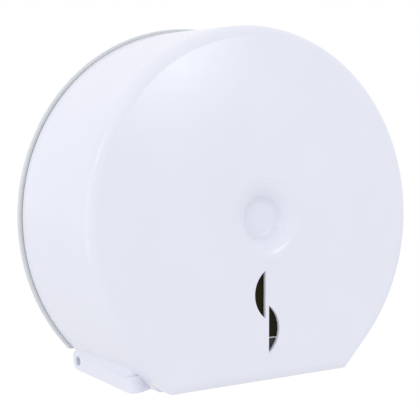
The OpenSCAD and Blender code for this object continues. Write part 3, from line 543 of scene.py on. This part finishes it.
def hollow_section():
    """Closed outline, away from the axis and along it: the arc from the floor to the wall, and back."""
    level = DISH_FLOOR + HOLLOW_RADIUS - DIP
    drop = level - DISH_ROUNDING_DEPTH
    reach = DISH_ROUNDING + HOLLOW_RADIUS - DIP
    middle = Vector((DISH_RADIUS - math.sqrt(reach**2 - drop**2), level))
    to_wall = (Vector((DISH_RADIUS, DISH_ROUNDING_DEPTH)) - middle).normalized()
    start = -math.pi / 2 - OVERRUN
    turn = math.atan2(to_wall.y, to_wall.x) + OVERRUN - start
    arc = arc_points(middle, HOLLOW_RADIUS, start, turn)
    behind = [arc[-1] + to_wall * SUNK, arc[0] + Vector((CORNER_OUT, -SUNK)), arc[0] - Vector((0, SUNK))]
    return arc + behind


rings = []
for step in range(TURN_STEPS):
    turn = 2 * math.pi * step / TURN_STEPS
    rings.append([(p.x * math.cos(turn), -p.y, p.x * math.sin(turn)) for p in hollow_section()])
closed_strip("dish_hollow", rings, white_unrounded, "cover", ends_meet=True)

# %% [markdown]
# ## The latch spring
# Under the plunger stands a compression spring of thin wire. It has to grow shorter as the plunger goes
# down, which a rigid solid can't do. A coil is the path of a point that turns and climbs at once, so a loop
# places rings of wire along it. The new coil stands for the solid one, which is hidden, and gets a mesh of
# its own.

# %% Spring coil
SPRING_TURNS, TURN_RINGS, WIRE_SIDES = 8, 28, 10
SPRING_RADIUS, WIRE_RADIUS = 0.0028, 0.0004
SPRING_OUT = 0.012
spring_low, spring_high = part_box("latch_spring")
foot, head = spring_low.z + WIRE_RADIUS, spring_high.z - WIRE_RADIUS


def wire_ring(turn, climb):
    """A ring round the wire, where the coil has turned and climbed that far."""
    ring = []
    for side in range(WIRE_SIDES):
        round_wire = 2 * math.pi * side / WIRE_SIDES
        reach = SPRING_RADIUS + WIRE_RADIUS * math.cos(round_wire)
        rise = climb + WIRE_RADIUS * math.sin(round_wire)
        ring.append((reach * math.cos(turn), reach * math.sin(turn) - SPRING_OUT, rise))
    return ring


rings = []
for step in range(SPRING_TURNS * TURN_RINGS + 1):
    climb = foot + (head - foot) * step / (SPRING_TURNS * TURN_RINGS)
    rings.append(wire_ring(2 * math.pi * step / TURN_RINGS, climb))
coil = closed_strip("latch_spring_coil", rings, spring_steel, "wall_unit")
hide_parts("latch_spring")
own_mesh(coil)

# %% [markdown]
# ## The floor
# The floor lies a metre below the dispenser, as it would under one that hangs on a wall. It is a plain
# matt grey sheet for the light that falls on it. For the camera it is mixed with white light, so that it
# melts into the background and still keeps a part of the object's shadow.

# %% Floor
FLOOR_DROP = 1.0
FLOOR_SIZE = 30.0
FLOOR_GREY = (0.85, 0.85, 0.85, 1)
FLOOR_SEEN = 1.03
SHADOW_KEPT = 0.1
floor_corners = [(x * FLOOR_SIZE, y * FLOOR_SIZE) for x, y in ((-1, -1), (1, -1), (1, 1), (-1, 1))]
floor_mesh = bpy.data.meshes.new("floor")
floor_mesh.from_pydata([(x, y, cad_low.z - FLOOR_DROP) for x, y in floor_corners], [], [(0, 1, 2, 3)])
floor = bpy.data.objects.new("floor", floor_mesh)
bpy.context.scene.collection.objects.link(floor)

floor_paint = bpy.data.materials.new("floor_paint")
floor_paint.use_nodes = True
paint = floor_paint.node_tree
paint.nodes.clear()
matt = paint.nodes.new("ShaderNodeBsdfDiffuse")
matt.inputs["Color"].default_value = FLOOR_GREY
white_seen = paint.nodes.new("ShaderNodeEmission")
white_seen.inputs["Strength"].default_value = FLOOR_SEEN
seen = paint.nodes.new("ShaderNodeLightPath")
blend_seen = paint.nodes.new("ShaderNodeMixShader")
floor_out = paint.nodes.new("ShaderNodeOutputMaterial")
white_share = add_range(paint, seen.outputs["Is Camera Ray"], 0, 1, 0, 1 - SHADOW_KEPT)
paint.links.new(white_share, blend_seen.inputs["Fac"])
paint.links.new(matt.outputs["BSDF"], blend_seen.inputs[1])
paint.links.new(white_seen.outputs["Emission"], blend_seen.inputs[2])
paint.links.new(blend_seen.outputs["Shader"], floor_out.inputs["Surface"])
floor_mesh.materials.append(floor_paint)
print("floor at height", round(cad_low.z - FLOOR_DROP, 3))

# %% [markdown]
# ## The room
# The picture has a plain white background. More lamps on a backdrop would also light the object, so the
# world does it with the Light Path node: what the camera, a reflection or a look through the lens meets is
# pure white, and all other light comes from a room that is a touch darker.

# %% World
ROOM_LIGHT = 0.98
BACKDROP_LIGHT = 1.0
world = bpy.data.worlds.new("room")
bpy.context.scene.world = world
world.use_nodes = True
sky = world.node_tree
sky.nodes.clear()


def white_light(strength):
    """Even white light of a strength from all around."""
    light = sky.nodes.new("ShaderNodeBackground")
    light.inputs["Color"].default_value = (1, 1, 1, 1)
    light.inputs["Strength"].default_value = strength
    return light.outputs["Background"]


ray = sky.nodes.new("ShaderNodeLightPath")
camera_or_gloss = larger_of(sky, ray.outputs["Is Camera Ray"], ray.outputs["Is Glossy Ray"])
sees_backdrop = larger_of(sky, camera_or_gloss, ray.outputs["Is Transmission Ray"])
pick = sky.nodes.new("ShaderNodeMixShader")
sky_out = sky.nodes.new("ShaderNodeOutputWorld")
sky.links.new(sees_backdrop, pick.inputs["Fac"])
sky.links.new(white_light(ROOM_LIGHT), pick.inputs[1])
sky.links.new(white_light(BACKDROP_LIGHT), pick.inputs[2])
sky.links.new(pick.outputs["Shader"], sky_out.inputs["Surface"])
print("room light", ROOM_LIGHT, "and backdrop", BACKDROP_LIGHT)

# %% [markdown]
# ## The lamps
# An even room alone leaves a white moulding flat. Point lamps would give it hard shadows, so three square
# area lamps add shape. A small one in front on the right makes the crescent in the dish, one high on the
# left a soft patch on the upper edge, and a wide one far on the left the streak along the left edge.


# %% Lamps
def soft_lamp(name, at, width, watts):
    """A square area lamp that faces the middle of the dispenser."""
    lamp = bpy.data.objects.new(name, bpy.data.lights.new(name, "AREA"))
    lamp.data.size = width
    lamp.data.energy = watts
    lamp.location = at
    lamp.rotation_mode = "QUATERNION"
    lamp.rotation_quaternion = (-Vector(at)).to_track_quat("-Z", "Y")
    bpy.context.scene.collection.objects.link(lamp)
    print(name, width, "m wide,", watts, "W")


soft_lamp("lamp_front_right", (0.963, -2.2, 0.603), width=0.42, watts=3.0)
soft_lamp("lamp_left_high", (-1.92, -1.0, 1.03), width=0.5, watts=2.4)
soft_lamp("lamp_left", (-2.2, -0.3, 0.0), width=1.4, watts=4.0)
